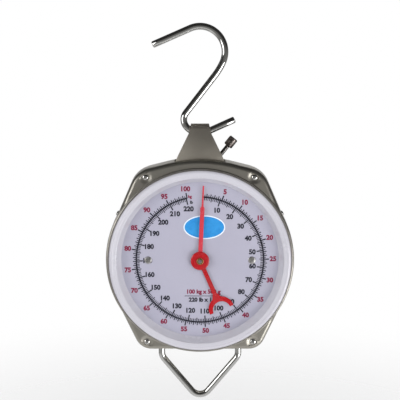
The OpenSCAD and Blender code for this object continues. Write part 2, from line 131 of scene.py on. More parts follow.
def make_handling():
    """Broad uneven patches where a surface was handled or wiped."""
    tree, given, result = effect("handling_marks", [("Size", "Float", 30.0)], [("Marks", "Float")])
    place = wire(tree, "TexCoord", {})
    noise = wire(tree, "TexNoise", {"Vector": place.outputs["Object"], "Detail": 5.0,
                                    "Roughness": 0.62, "Distortion": 0.4,
                                    "Scale": given.outputs["Size"]})
    spread = wire(tree, "MapRange", {"Value": noise.outputs["Fac"], "From Min": 0.36,
                                     "From Max": 0.66})
    tree.links.new(spread.outputs["Result"], result.inputs["Marks"])
    return tree


def make_edge_wear():
    """Mask of the outer edges, broken up by noise: rubbed wear on most finishes, painted shade on
    the dial screws.
    """
    tree, given, result = effect("edge_wear_and_shade", [("Width", "Float", 0.0006)], [("WearAndShade", "Float")])
    place = wire(tree, "TexCoord", {})
    surface = wire(tree, "NewGeometry", {})
    rounded = wire(tree, "Bevel", {"Radius": given.outputs["Width"]}, samples=4)
    alike = wire(tree, "VectorMath", {0: surface.outputs["Normal"], 1: rounded.outputs["Normal"]},
                 operation="DOT_PRODUCT")
    edge = wire(tree, "MapRange", {"Value": alike.outputs["Value"], "From Min": 0.995,
                                   "From Max": 0.9})
    noise = wire(tree, "TexNoise", {"Vector": place.outputs["Object"], "Scale": 350.0,
                                    "Detail": 3.0})
    broken = wire(tree, "MapRange", {"Value": noise.outputs["Fac"], "From Min": 0.42,
                                     "From Max": 0.6})
    wear_and_shade = wire(tree, "Math", {0: edge.outputs["Result"], 1: broken.outputs["Result"]},
                operation="MULTIPLY")
    tree.links.new(wear_and_shade.outputs[0], result.inputs["WearAndShade"])
    return tree


surface_grain = make_grain()
handling_marks = make_handling()
edge_wear_and_shade = make_edge_wear()


def finish(name, colour, second, roughness, stretch=(900, 900, 900), metallic=1.0, bump=0.02,
           wear_and_shade=None, marks=30.0, coat=0.0):
    """Two colours mixed by handling marks, with grain in the gloss and relief, and an edge colour
    that is rubbed wear on most finishes and painted shade on the dial screws.
    """
    made = bpy.data.materials.new(name)
    made.use_nodes = True
    tree = made.node_tree
    shader = tree.nodes["Principled BSDF"]
    shader.inputs["Metallic"].default_value = metallic
    shader.inputs["Coat Weight"].default_value = coat
    shader.inputs["Coat Roughness"].default_value = 0.08
    grain = wire(tree, "Group", {}, node_tree=surface_grain)
    grain.inputs["Stretch"].default_value = stretch
    handled = wire(tree, "Group", {}, node_tree=handling_marks)
    handled.inputs["Size"].default_value = marks
    base = wire(tree, "Mix", {"Factor": handled.outputs["Marks"]}, data_type="RGBA")
    base.inputs["A"].default_value = (*colour, 1)
    base.inputs["B"].default_value = (*second, 1)
    base_colour = base.outputs["Result"]
    # The edge colour is rubbed wear on most finishes and painted shade on the dial screws.
    if wear_and_shade:
        edges = wire(tree, "Group", {}, node_tree=edge_wear_and_shade)
        rubbed_and_shaded = wire(tree, "Mix", {"Factor": edges.outputs["WearAndShade"], "A": base_colour},
                      data_type="RGBA")
        rubbed_and_shaded.inputs["B"].default_value = (*wear_and_shade, 1)
        base_colour = rubbed_and_shaded.outputs["Result"]
    tree.links.new(base_colour, shader.inputs["Base Color"])
    uneven = wire(tree, "Math", {0: grain.outputs["Grain"], 1: handled.outputs["Marks"]},
                  operation="ADD")
    gloss = wire(tree, "MapRange", {"Value": uneven.outputs[0], "From Min": 0.3, "From Max": 1.6,
                                    "To Min": roughness[0], "To Max": roughness[1]})
    tree.links.new(gloss.outputs["Result"], shader.inputs["Roughness"])
    relief = wire(tree, "Bump", {"Height": grain.outputs["Grain"], "Strength": 1.0,
                                 "Distance": bump * mm})
    tree.links.new(relief.outputs["Normal"], shader.inputs["Normal"])
    return made


def complete(piece, body, material, nodes=(), angle=32):
    """Finishes a piece: merged, faces outwards, smooth, with its material and body."""
    bpy.context.view_layer.objects.active = piece
    if bpy.context.mode != "EDIT_MESH":
        bpy.ops.object.mode_set(mode="EDIT")
    bpy.ops.mesh.select_all(action="SELECT")
    bpy.ops.mesh.remove_doubles(threshold=merge_gap)
    bpy.ops.mesh.normals_make_consistent(inside=False)
    bpy.ops.object.mode_set(mode="OBJECT")
    bpy.ops.object.select_all(action="DESELECT")
    piece.select_set(True)
    bpy.ops.object.shade_smooth_by_angle(angle=math.radians(angle))
    piece.data.materials.clear()
    piece.data.materials.append(material)
    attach(piece, body)
    if nodes:
        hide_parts(*nodes)


def round_bar(name, start, heading, bends, radius):
    """A bar bent parallel to the dial. Each bend is (straight run, bend radius, turn)."""
    bpy.ops.object.select_all(action="DESELECT")
    along = Vector((math.cos(heading), 0, math.sin(heading)))
    bpy.ops.mesh.primitive_circle_add(vertices=bar_sides, radius=radius - end_chamfer,
                                      fill_type="NGON", location=(0, 0, 0))
    piece = bpy.context.object
    piece.name = name
    turn_to = Vector((0, 0, 1)).rotation_difference(along).to_matrix().to_4x4()
    piece.data.transform(Matrix.Translation(start) @ turn_to)
    bpy.ops.object.mode_set(mode="EDIT")
    bpy.ops.mesh.select_all(action="SELECT")
    point = Vector(start)
    scale_up = radius / (radius - end_chamfer)
    chamfer = along * end_chamfer
    bpy.ops.mesh.extrude_region_move(TRANSFORM_OT_translate={"value": chamfer})
    point += chamfer
    bpy.ops.transform.resize(value=(scale_up,) * 3, center_override=point)
    for run, bend_radius, turn in bends:
        steps = max(1, round(run / ring_spacing))
        for _ in range(steps):
            bpy.ops.mesh.extrude_region_move(TRANSFORM_OT_translate={"value": along * run / steps})
        point += along * run
        if turn:
            side = 1 if turn > 0 else -1
            centre = point + Vector((-along.z, 0, along.x)) * side * bend_radius
            rings = max(4, math.ceil(abs(turn) / ring_turn))
            bpy.ops.mesh.spin(steps=rings, angle=-turn, center=centre, axis=(0, -1, 0))
            rotation = Matrix.Rotation(turn, 3, (0, -1, 0))
            point = centre + rotation @ (point - centre)
            along = rotation @ along
    chamfer = along * end_chamfer
    bpy.ops.mesh.extrude_region_move(TRANSFORM_OT_translate={"value": chamfer})
    bpy.ops.transform.resize(value=(1 / scale_up,) * 3, center_override=point + chamfer)
    bpy.ops.object.mode_set(mode="OBJECT")
    return piece


chrome = finish("polished_chrome", (0.80, 0.80, 0.78), (0.72, 0.72, 0.70), (0.05, 0.13),
                stretch=(90, 90, 90), bump=0.0006, marks=60.0)

plated_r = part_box("s_hook")[1].y - 0.04 * mm
entry = math.radians(66.75)
upper_bend = 28.9 * mm
free_arm = 46.4 * mm
arm_heading = math.pi / 2 - entry
bend_start = Vector((-upper_bend * math.cos(entry), 0,
                     bar_r - upper_bend * (1 - math.sin(entry))))
arm_start = bend_start - (free_arm + end_chamfer) * Vector((math.cos(arm_heading), 0,
                                                            math.sin(arm_heading)))
hook_bends = [(free_arm, upper_bend, math.radians(-139.5)),
              (1 * mm, 74.7 * mm, math.radians(-11.7)),
              (54.6 * mm, 13 * mm, math.radians(85.3)),
              (1 * mm, 21.2 * mm, math.radians(66.8)),
              (33.5 * mm, 0, 0)]
hook = round_bar("hook_bar", arm_start, arm_heading, hook_bends, plated_r)
complete(hook, "hook", chrome, ["s_hook"], angle=60)


# ---- Load bail ----
# The same 8 mm bar bent into a V with a round bottom. Its two short ends turn inwards through
# slots in the casing and pivot in the crossbar.

leg_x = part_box("load_bail")[1].x - bar_r
stub, top_bend, arm_bend, low_bend, leg = 9 * mm, 8 * mm, 14 * mm, 13.1 * mm, 44.1 * mm
pivot_z = axis_z - 66 * mm
arm_angle = math.radians(39.5)
arm = (leg_x - arm_bend * (1 - math.cos(arm_angle))
       - low_bend * math.cos(arm_angle)) / math.sin(arm_angle)
bail_start = Vector((-leg_x + top_bend + stub, 0, pivot_z))
bail_bends = [(stub - end_chamfer, top_bend, math.pi / 2), (leg, arm_bend, arm_angle),
              (arm, low_bend, math.pi - 2 * arm_angle), (arm, arm_bend, arm_angle),
              (leg, top_bend, math.pi / 2), (stub - end_chamfer, 0, 0)]
bail = round_bar("bail_bar", bail_start, math.pi, bail_bends, plated_r)
complete(bail, "bail", chrome, ["load_bail"], angle=60)


# ---- Neck strap ----
# A plate of satin stainless steel folded over the hook. Its edges are sheared and lightly
# rounded, and it widens towards the casing.

brushed = (55, 1400, 1400)
rubbed_steel = (0.6, 0.59, 0.56)
flat_within, sharp_over = math.radians(0.6), math.radians(40)


def softened(node, name, width, segments=2):
    """The sub-part's own shape, merged into whole faces, with its sharp edges rounded."""
    bpy.ops.object.select_all(action="DESELECT")
    piece = bpy.data.objects.new(name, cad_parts[node].data.copy())
    bpy.context.scene.collection.objects.link(piece)
    bpy.context.view_layer.objects.active = piece
    piece.select_set(True)
    bpy.ops.mesh.customdata_custom_splitnormals_clear()
    bpy.ops.object.mode_set(mode="EDIT")
    bpy.ops.mesh.select_all(action="SELECT")
    bpy.ops.mesh.remove_doubles(threshold=merge_gap)
    bpy.ops.mesh.dissolve_limited(angle_limit=flat_within)
    bpy.ops.object.mode_set(mode="OBJECT")
    edges = piece.modifiers.new("edges", "BEVEL")
    edges.width = width
    edges.segments = segments
    edges.limit_method = "ANGLE"
    edges.angle_limit = sharp_over
    edges.harden_normals = False
    bpy.ops.object.modifier_apply(modifier=edges.name)
    return piece


# This satin stainless has a lighter base colour than the casing's: painted light that stands in for
# the light the flat plate catches.
strap_steel_painted_light = finish("strap_stainless_painted_light", (0.82, 0.76, 0.66), (0.74, 0.69, 0.60), (0.42, 0.56),
                     stretch=brushed, bump=0.012, wear_and_shade=rubbed_steel, marks=22.0)
complete(softened("neck_strap", "neck_plate", 0.5 * mm, 3), "scale", strap_steel_painted_light,
         ["neck_strap"])


# ---- Casing shells ----
# Two pans pressed from 1.2 mm satin stainless sheet. The rear one has a lip that slides into the
# front one. Both have rolled edges, and the front has a bead pressed round the bezel and a
# shallow dimple at each corner screw.

satin_steel = finish("satin_stainless", (0.56, 0.53, 0.47), (0.47, 0.45, 0.40), (0.32, 0.44),
                     stretch=brushed, bump=0.012, wear_and_shade=rubbed_steel, marks=22.0)
casing_r = cad_box[1][0] - 0.005 * mm
outline_discs = [(0, 0, 110.4), (51.8, 79.3, 31), (0, -31, 150.5), (-51.8, 79.3, 31),
                 (0, 0, 110.4), (-57.4, -86.7, 21.5), (57.4, -86.7, 21.5)]
corners = [(62.5, 98), (-62.5, 98), (62.5, -96.8), (-62.5, -96.8)]
around = 540
front_y, front_inside_y, front_roll_y = -26.5, -25.3, -20.3
rear_y, rear_inside_y, rear_roll_y, lip_y = 29, 27.8, 24.6, -13
front_edge, front_round = 6.2, 2.5
bezel_hole = 99.5 * mm
bead_middle, bead_half, bead_height = 107.4 * mm, 1.15 * mm, 1.0 * mm
dimple_r, dimple_depth, dimple_flat = 8.5 * mm, 1.1 * mm, 1.7
screw_hole_r, seat_r, boss_r = 1.75 * mm, 4.6 * mm, 5.8 * mm
bail_slot_x = 46.5 * mm


def tangent(a, b):
    """Direction that the straight edge between two discs of the outline faces."""
    step_x, step_z = b[0] - a[0], b[1] - a[1]
    lean = math.asin((a[2] - b[2]) / math.hypot(step_x, step_z))
    return math.atan2(step_z, step_x) - math.pi / 2 + lean


def outline(inset):
    """Points counterclockwise round the casing's edge, at an inset."""
    points = []
    count = len(outline_discs)
    for i, disc in enumerate(outline_discs):
        first = tangent(outline_discs[i - 1], disc)
        sweep = (tangent(disc, outline_discs[(i + 1) % count]) - first) % (2 * math.pi)
        steps = max(1, round(sweep / math.radians(5)))
        for k in range(steps + 1):
            angle = first + sweep * k / steps
            reach = disc[2] * mm - inset
            points.append((disc[0] * mm + reach * math.cos(angle),
                           disc[1] * mm + reach * math.sin(angle)))
    return points


def reach_at(points, angle):
    """Distance from the pointer axis to the outline in one direction."""
    dx, dz = math.cos(angle), math.sin(angle)
    best = 0
    for (ax, az), (bx, bz) in zip(points, points[1:] + points[:1]):
        ex, ez = bx - ax, bz - az
        cross = dx * ez - dz * ex
        if abs(cross) > 1e-12:
            along_edge = (ax * dz - az * dx) / cross
            away = (ax * ez - az * ex) / cross
            if -1e-6 <= along_edge <= 1 + 1e-6:
                best = max(best, away)
    return best


reaches = {}


def edge_reach(inset, round_inset, step):
    """Radius of the casing's edge in one of the directions around it."""
    if inset not in reaches:
        points = outline(inset)
        reaches[inset] = [reach_at(points, 2 * math.pi * k / around) for k in range(around)]
    return max(reaches[inset][step % around], casing_r - round_inset)


def bead(radius):
    """Height of the pressed bead at a radius."""
    away = abs(radius - bead_middle) / bead_half
    return bead_height * math.cos(away * math.pi / 2) if away < 1 else 0


def dimple(x, z):
    """Depth of the corner dimples at a place on the panel."""
    depth = 0
    for cx, cz in corners:
        away = math.hypot(x - cx * mm, z - cz * mm) / dimple_r
        if away < 1:
            slope = min(1, dimple_flat * (1 - away))
            depth += dimple_depth * slope ** 2 * (3 - 2 * slope)
    return depth


def pan_piece(name, rings):
    """A pressed pan: a grid wrapped round the axis, one row of it on each ring."""
    bpy.ops.object.select_all(action="DESELECT")
    bpy.ops.mesh.primitive_grid_add(x_subdivisions=around, y_subdivisions=len(rings) - 1, size=1)
    piece = bpy.context.object
    piece.name = name
    for vertex in piece.data.vertices:
        step = round((vertex.co.x + 0.5) * around)
        ring = rings[round((vertex.co.y + 0.5) * (len(rings) - 1))]
        angle = 2 * math.pi * step / around
        radius, depth = ring(step)
        x, z = radius * math.cos(angle), radius * math.sin(angle)
        vertex.co = (x, depth(radius, x, z), axis_z + z)
    bpy.ops.object.mode_set(mode="EDIT")
    bpy.ops.mesh.select_all(action="SELECT")
    bpy.ops.mesh.remove_doubles(threshold=2 * merge_gap)
    bpy.ops.mesh.normals_make_consistent(inside=False)
    bpy.ops.object.mode_set(mode="OBJECT")
    return piece


def wall(y, inset, round_inset):
    """A ring on the side wall or the rolled edge."""
    return lambda step: (edge_reach(inset * mm, round_inset * mm, step), lambda r, x, z: y * mm)


def panel(y, inset, round_inset, inner, share, pressed):
    """A ring on the flat panel, a share of the way from its edge to the inner radius."""
    def ring(step):
        edge = edge_reach(inset * mm, round_inset * mm, step)
        radius = edge + (inner - edge) * share
        return radius, lambda r, x, z: y * mm + (pressed(r, x, z) if pressed else 0)
    return ring


def hoop(radius, y):
    """A plain round ring of the bezel's opening."""
    return lambda step: (radius, lambda r, x, z: y * mm)


def beaded(y, radius, inset, round_inset):
    """A ring of fixed radius across the bead, held inside the panel's edge."""
    def ring(step):
        edge = edge_reach(inset * mm, round_inset * mm, step)
        return min(radius, edge), lambda r, x, z: y * mm - bead(r) + dimple(x, z)
    return ring


def cut(piece, cutter, operation="DIFFERENCE"):
    """Takes the cutter's shape out of the piece, or with UNION welds it on."""
    tool = piece.modifiers.new("cut", "BOOLEAN")
    tool.operation = operation
    tool.object = cutter
    bpy.ops.object.select_all(action="DESELECT")
    bpy.context.view_layer.objects.active = piece
    piece.select_set(True)
    bpy.ops.object.modifier_apply(modifier=tool.name)
    bpy.data.objects.remove(cutter)


def cutter_box(low, high):
    """A box between two corners, for cutting an opening."""
    bpy.ops.object.select_all(action="DESELECT")
    middle = [(a + b) / 2 for a, b in zip(low, high)]
    extent = [b - a for a, b in zip(low, high)]
    bpy.ops.mesh.primitive_cube_add(size=1, location=middle, scale=extent)
    return bpy.context.object


def cutter_rod(x, z, radius, y0, y1):
    """A rod along the depth axis, for drilling."""
    bpy.ops.object.select_all(action="DESELECT")
    bpy.ops.mesh.primitive_cylinder_add(vertices=40, radius=radius, depth=y1 - y0,
                                        location=(x, (y0 + y1) / 2, z),
                                        rotation=(math.pi / 2, 0, 0))
    return bpy.context.object


def cut_slot(shell, x, half_wide, half_deep, low, high):
    """A slot through the casing's edge, with its sizes and heights in millimetres."""
    cut(shell, cutter_box((x - half_wide * mm, -half_deep * mm, axis_z + low * mm),
                          (x + half_wide * mm, half_deep * mm, axis_z + high * mm)))


def cut_casing_slots(shell):
    """The strap's slot in the top and the bail's two slots in the bottom."""
    cut_slot(shell, 0, 29.6, 18.6, 104, 124)
    for x in (-bail_slot_x, bail_slot_x):
        cut_slot(shell, x, 4.9, 11.3, -114, -101)


quarter_arc = [math.radians(a) for a in (0, 15, 30, 45, 60, 75, 90)]
front_rings = [wall(0, 0, 0), wall(-10, 0.7, 0.6), wall(front_roll_y, 1.45, 1.3)]
for a in quarter_arc[1:]:
    turned_in = 1 - math.cos(a)
    front_rings.append(wall(front_roll_y - 6.2 * math.sin(a),
                            1.45 + (front_edge - 1.45) * turned_in,
                            1.3 + (front_round - 1.3) * turned_in))
for i in range(1, 13):
    front_rings.append(panel(front_y, front_edge, front_round, 108.7 * mm, i / 12,
                             lambda r, x, z: dimple(x, z) - bead(r)))
for radius in (108.5, 108.2, 107.8, 107.4, 107.0, 106.6, 106.25):
    front_rings.append(beaded(front_y, radius * mm, front_edge, front_round))
front_rings += [hoop(104 * mm, front_y), hoop(bezel_hole, front_y),
                hoop(bezel_hole, front_inside_y), hoop(105.5 * mm, front_inside_y)]
for i in range(10, -1, -1):
    front_rings.append(panel(front_inside_y, front_edge + 1.0, front_round + 1.3, 106.5 * mm,
                             i / 10, lambda r, x, z: dimple(x, z)))
for a in reversed(quarter_arc[:-1:2]):
    turned_in = 1 - math.cos(a)
    front_rings.append(wall(front_roll_y - 5 * math.sin(a), 2.65 + 4.55 * turned_in,
                            2.5 + 1.3 * turned_in))
front_rings += [wall(0, 1.2, 1.2), wall(0, 0, 0)]
front = pan_piece("front_casing", front_rings)
cut_casing_slots(front)
for cx, cz in corners:
    cut(front, cutter_rod(cx * mm, axis_z + cz * mm, screw_hole_r, -30 * mm, -20 * mm))
complete(front, "scale", satin_steel, ["front_shell"])

rear_rings = [panel(rear_inside_y, 4.6, 4.6, 0, i / 8, None) for i in range(8, -1, -1)]
for y, inset in ((rear_roll_y, 2.2), (3, 1.25), (3, 3.8), (lip_y, 3.8), (lip_y, 2.6), (0.2, 2.6),
                 (0.2, 0), (12, 0.5), (rear_roll_y, 1)):
    rear_rings.append(wall(y, inset, inset))
for a in quarter_arc[1:]:
    inset = 1 + 2.6 * (1 - math.cos(a))
    rear_rings.append(wall(rear_roll_y + 4.4 * math.sin(a), inset, inset))
rear_rings += [panel(rear_y, 3.6, 3.6, 0, i / 8, None) for i in range(1, 9)]
rear = pan_piece("rear_casing", rear_rings)
cut_casing_slots(rear)
for cx, cz in corners:
    cut(rear, cutter_rod(cx * mm, axis_z + cz * mm, boss_r, 25.3 * mm, 28.9 * mm), "UNION")
    cut(rear, cutter_rod(cx * mm, axis_z + cz * mm, seat_r, 26.5 * mm, 30 * mm))
    cut(rear, cutter_rod(cx * mm, axis_z + cz * mm, screw_hole_r, 24 * mm, 28 * mm))
complete(rear, "scale", satin_steel, ["rear_shell"])


# ---- Casing screws ----
# Bright nickel-plated pan heads with a cross recess. Four hold each pan to the posts, and four
# smaller ones go in through the side wall.

def turned(name, profile, x=0, z=0, steps=96, closed=True):
    """A piece turned about the depth axis. The profile is (radius, depth) in millimetres."""
    bpy.ops.object.select_all(action="DESELECT")
    bpy.ops.mesh.primitive_plane_add(size=mm, location=(0, 0, 0))
    piece = bpy.context.object
    piece.name = name
    bpy.ops.object.mode_set(mode="EDIT")
    bpy.ops.mesh.select_all(action="SELECT")
    bpy.ops.mesh.merge(type="CENTER")
    points = [Vector((x + r * mm, y * mm, z)) for r, y in profile]
    bpy.ops.transform.translate(value=points[0])
    path = points[1:] + (points[:1] if closed else [])
    last = points[0]
    for point in path:
        bpy.ops.mesh.extrude_region_move(TRANSFORM_OT_translate={"value": point - last})
        last = point
    bpy.ops.mesh.select_all(action="SELECT")
    bpy.ops.mesh.remove_doubles(threshold=merge_gap / 2)
    bpy.ops.mesh.spin(steps=steps, angle=2 * math.pi, center=(x, 0, z), axis=(0, 1, 0))
    bpy.ops.mesh.select_all(action="SELECT")
    bpy.ops.mesh.remove_doubles(threshold=merge_gap / 2)
    bpy.ops.mesh.dissolve_degenerate(threshold=merge_gap / 2)
    bpy.ops.mesh.normals_make_consistent(inside=False)
    bpy.ops.object.mode_set(mode="OBJECT")
    return piece


recess_long, recess_wide, recess_deep = 1.15, 0.22, 0.75
tip_chamfer = 0.4


def pan_head(radius, height, shank_r, shank):
    """A pan-head screw that looks along -Y, with its head's underside at the origin."""
    profile = [(0, -height)]
    for a in quarter_arc[1:]:
        profile.append((radius * math.sin(a) ** 0.8, -height * (0.25 + 0.75 * math.cos(a))))
    profile += [(radius, 0), (shank_r, 0), (shank_r, shank - tip_chamfer),
                (shank_r - tip_chamfer, shank), (0, shank)]
    screw = turned("screw", profile, steps=40, closed=False)
    arm_l, arm_w = radius * recess_long * mm, radius * recess_wide * mm
    deep = height * recess_deep * mm
    for size in ((arm_l, arm_w), (arm_w, arm_l)):
        slot_tool = cutter_box((-size[0] / 2, -height * mm - 0.2 * mm, -size[1] / 2),
                               (size[0] / 2, -height * mm + deep, size[1] / 2))
        cut(screw, slot_tool)
    return screw


def set_of(name, model, placings):
    """Copies of one model at several placings, joined into one piece."""
    bpy.ops.object.select_all(action="DESELECT")
    copies = []
    for placing in placings:
        copy = bpy.data.objects.new(name, model.data.copy())
        copy.data.transform(placing)
        bpy.context.scene.collection.objects.link(copy)
        copy.select_set(True)
        copies.append(copy)
    bpy.context.view_layer.objects.active = copies[0]
    if len(copies) > 1:
        bpy.ops.object.join()
    bpy.data.objects.remove(model)
    return bpy.context.view_layer.objects.active


nickel = finish("bright_nickel", (0.85, 0.84, 0.82), (0.72, 0.71, 0.69), (0.10, 0.26),
                stretch=(1500, 1500, 1500), bump=0.006, marks=300.0)
face_back = Matrix.Rotation(math.pi, 4, "Z")
front_places = [Matrix.Translation((cx * mm, -25.5 * mm, axis_z + cz * mm)) @
                Matrix.Rotation(math.radians(20 + 31 * i), 4, "Y")
                for i, (cx, cz) in enumerate(corners)]
complete(set_of("front_screws", pan_head(3.3, 1.7, 1.6, 4.5), front_places), "scale",
         nickel, ["front_corner_screws"])
rear_places = [Matrix.Translation((cx * mm, 26.5 * mm, axis_z + cz * mm)) @ face_back
               for cx, cz in corners]
complete(set_of("rear_screws", pan_head(3.3, 1.6, 1.6, 8), rear_places), "scale",
         nickel, ["rear_corner_screws"])
wall_spots = [(29.2, 110.4, 29.2), (150.8, 110.4, 150.8), (214, 111.15, 205.3),
              (326, 111.15, 334.7)]
side_places = []
for degrees, wall_r, facing in wall_spots:
    at, face = math.radians(degrees), math.radians(facing)
    outward = Vector((math.cos(face), 0, math.sin(face)))
    turn = Vector((0, -1, 0)).rotation_difference(outward).to_matrix().to_4x4()
    middle = Vector((math.cos(at), 0, math.sin(at))) * wall_r * mm + outward * 0.35 * mm
    side_places.append(Matrix.Translation((middle.x, -8 * mm, axis_z + middle.z)) @ turn)
complete(set_of("wall_screws", pan_head(3.0, 1.5, 1.4, 7.6), side_places), "scale",
         nickel, ["side_screws"])


# ---- Bezel, lens and retainer ----
# A moulded ring of glossy white plastic with a rounded crest and a cone that leads down to the
# dial. A clear flat lens sits in its step and a thin snap ring holds the lens.

white_plastic = finish("glossy_white_plastic", (0.56, 0.55, 0.60), (0.53, 0.52, 0.57), (0.16, 0.30),
                       stretch=(160, 160, 160), metallic=0.0, bump=0.01, wear_and_shade=(0.52, 0.51, 0.55),
                       marks=12.0, coat=0.6)
crest_r, crest_y, crest_half, crest_rise = 102.3, -28.4, 3.5, 4.6
crest = []
for degrees in range(60, 171, 10):
    a = math.radians(degrees)
    crest.append((crest_r - crest_half * math.cos(a), crest_y - crest_rise * math.sin(a)))
bezel_profile = ([(92, -20.05), (93.6, -23.2), (95.2, -26.2), (96.3, -28.4), (97.0, -29.6),
                  (97.4, -30), (98.7, -30), (98.7, -32.08), (99.5, -32.17)]
                 + crest
                 + [(105.8, -28.2), (105.8, -26.8), (105.6, -26.55), (99.3, -26.55), (99.3, -25),
                    (96.4, -25), (94.2, -20.05)])
complete(turned("bezel_moulding", bezel_profile, z=axis_z, steps=160), "scale",
         white_plastic, ["bezel_ring"])

clear = bpy.data.materials.new("clear_lens")
clear.use_nodes = True
clear_tree = clear.node_tree
clear_shader = clear_tree.nodes["Principled BSDF"]
clear_shader.inputs["Transmission Weight"].default_value = 1.0
clear_shader.inputs["IOR"].default_value = 1.1
clear_shader.inputs["Alpha"].default_value = 0.05
clear_marks = wire(clear_tree, "Group", {"Size": 45.0}, node_tree=handling_marks)
clear_gloss = wire(clear_tree, "MapRange", {"Value": clear_marks.outputs["Marks"], "To Min": 0.02,
                                            "To Max": 0.09})
clear_tint = wire(clear_tree, "Mix", {"Factor": clear_marks.outputs["Marks"]}, data_type="RGBA")
clear_tint.inputs["A"].default_value = (0.97, 0.98, 1.0, 1)
clear_tint.inputs["B"].default_value = (0.93, 0.94, 0.97, 1)
clear_tree.links.new(clear_tint.outputs["Result"], clear_shader.inputs["Base Color"])
clear_tree.links.new(clear_gloss.outputs["Result"], clear_shader.inputs["Roughness"])
lens_profile = [(0, -31.4), (97.9, -31.4), (98.3, -31.2), (98.5, -30.9), (98.5, -30), (0, -30)]
complete(turned("lens_disc", lens_profile, z=axis_z, steps=160, closed=False), "scale",
         clear, ["lens"])
ring_profile = [(97, -31.5), (98.68, -31.5), (98.68, -32.07), (98.1, -31.95), (97.1, -31.58)]
complete(turned("snap_ring", ring_profile, z=axis_z, steps=160), "scale",
         white_plastic, ["lens_retainer"])


# ---- Dial ----
# A disc of thin sheet with pale satin enamel. The kilogram ticks stand outside one black circle
# and the pound ticks inside it, with red figures for kilograms and black ones for pounds.

enamel = finish("dial_enamel", (0.42, 0.41, 0.50), (0.39, 0.385, 0.475), (0.34, 0.48),
                stretch=(500, 500, 500), metallic=0.0, bump=0.01, marks=9.0)
dial_profile = [(2.6, -19.95), (2.8, -20), (95.6, -20), (96, -19.8), (96, -19.2), (2.6, -19.2)]
complete(turned("dial_disc", dial_profile, z=axis_z, steps=128), "scale", enamel,
         ["dial_plate"], angle=25)

ink_front, ink_back = -20.07 * mm, -19.99 * mm
ink_middle = (ink_front + ink_back) / 2
ink_depth = ink_back - ink_front
zero_angle = 2.6
degrees_per_kg = 3.458
pounds_per_kg = 2.20462
circle_r, circle_half = 74.5, 0.95
tick_widths = (1.5, 1.15, 0.95)
tick_gap = 0.6
capacity_x, capacity_line_z = 3.9, -42.9


def ink(name, colour, second):
    """Printing ink: slightly uneven and satin."""
    return finish(name, colour, second, (0.35, 0.55), stretch=(1800, 1800, 1800), metallic=0.0,
                  bump=0.006, marks=160.0)


black_ink = ink("black_ink", (0.006, 0.006, 0.014), (0.016, 0.016, 0.03))
red_ink = ink("red_ink", (0.26, 0.006, 0.045), (0.20, 0.007, 0.045))
blue_ink = ink("blue_ink", (0.012, 0.24, 0.62), (0.02, 0.30, 0.70))
white_ink = ink("white_ink", (0.80, 0.88, 0.95), (0.74, 0.83, 0.92))


def add_mark(degrees, inner, outer, width):
    """One printed tick between two radii, clockwise from the top."""
    a = math.radians(degrees)
    middle = (inner + outer) / 2 * mm
    bpy.ops.mesh.primitive_cube_add(
        size=1, rotation=(0, a, 0), scale=(width * mm, ink_depth, (outer - inner) * mm),
        location=(middle * math.sin(a), ink_middle, axis_z + middle * math.cos(a)))


def tick(count, middle_every, lengths):
    """Length and width of a tick. The longest stand at each tenth."""
    rank = 0 if count % 10 == 0 else 1 if count % middle_every == 0 else 2
    return lengths[rank], tick_widths[rank]


bpy.ops.object.select_all(action="DESELECT")
bpy.ops.mesh.primitive_cube_add(
    size=1, location=(capacity_x * mm, ink_middle, axis_z + capacity_line_z * mm),
    scale=(44 * mm, ink_depth, 0.7 * mm))
ticks = bpy.context.object
ticks.name = "scale_marks"
ticks.data.transform(ticks.matrix_world)
ticks.matrix_world = Matrix.Identity(4)
bpy.ops.object.mode_set(mode="EDIT")
for half_kilo in range(201):
    length, width = tick(half_kilo, 2, (6.2, 4.0, 2.8))
    add_mark(zero_angle + half_kilo / 2 * degrees_per_kg, circle_r + tick_gap, circle_r + length,
             width)
for pound in range(221):
    length, width = tick(pound, 5, (7.6, 5.0, 3.8))
    add_mark(zero_angle + pound / pounds_per_kg * degrees_per_kg, circle_r - length,
             circle_r - tick_gap, width)
bpy.ops.object.mode_set(mode="OBJECT")
circle_profile = [(circle_r - circle_half, -19.99), (circle_r + circle_half, -19.99),
                  (circle_r + circle_half, -20.08), (circle_r - circle_half, -20.08)]
circle = turned("ring", circle_profile, z=axis_z, steps=180)
cut(circle, cutter_box((-14.5 * mm, -21 * mm, axis_z + 60 * mm),
                       (2.9 * mm, -19 * mm, axis_z + 80 * mm)))
bpy.ops.object.select_all(action="DESELECT")
circle.select_set(True)
ticks.select_set(True)
bpy.context.view_layer.objects.active = ticks
bpy.ops.object.join()
complete(ticks, "scale", black_ink)


def on_circle(degrees, radius):
    """Place on the dial, clockwise from the top."""
    a = math.radians(degrees)
    return radius * math.sin(a), radius * math.cos(a)


figure_size, figure_weight = 1.38, 0.07


def figures(name, entries, material):
    """Printed figures. Each entry is (text, x, z, height), all in millimetres."""
    made = []
    for text, x, z, height in entries:
        bpy.ops.object.select_all(action="DESELECT")
        bpy.ops.object.text_add(location=(0, 0, 0))
        figure = bpy.context.object
        figure.data.body = text
        figure.data.align_x = "CENTER"
        figure.data.align_y = "CENTER"
        figure.data.size = height * figure_size * mm
        figure.data.offset = height * figure_weight * mm
        figure.data.extrude = ink_depth / 2
        figure.data.resolution_u = 3
        bpy.ops.object.convert(target="MESH")
        figure.data.transform(Matrix.Translation((x * mm, ink_middle, axis_z + z * mm)) @
                              Matrix.Rotation(math.pi / 2, 4, "X"))
        made.append(figure)
    bpy.ops.object.select_all(action="DESELECT")
    for figure in made:
        figure.select_set(True)
    bpy.context.view_layer.objects.active = made[0]
    bpy.ops.object.join()
    made[0].name = name
    complete(made[0], "scale", material)


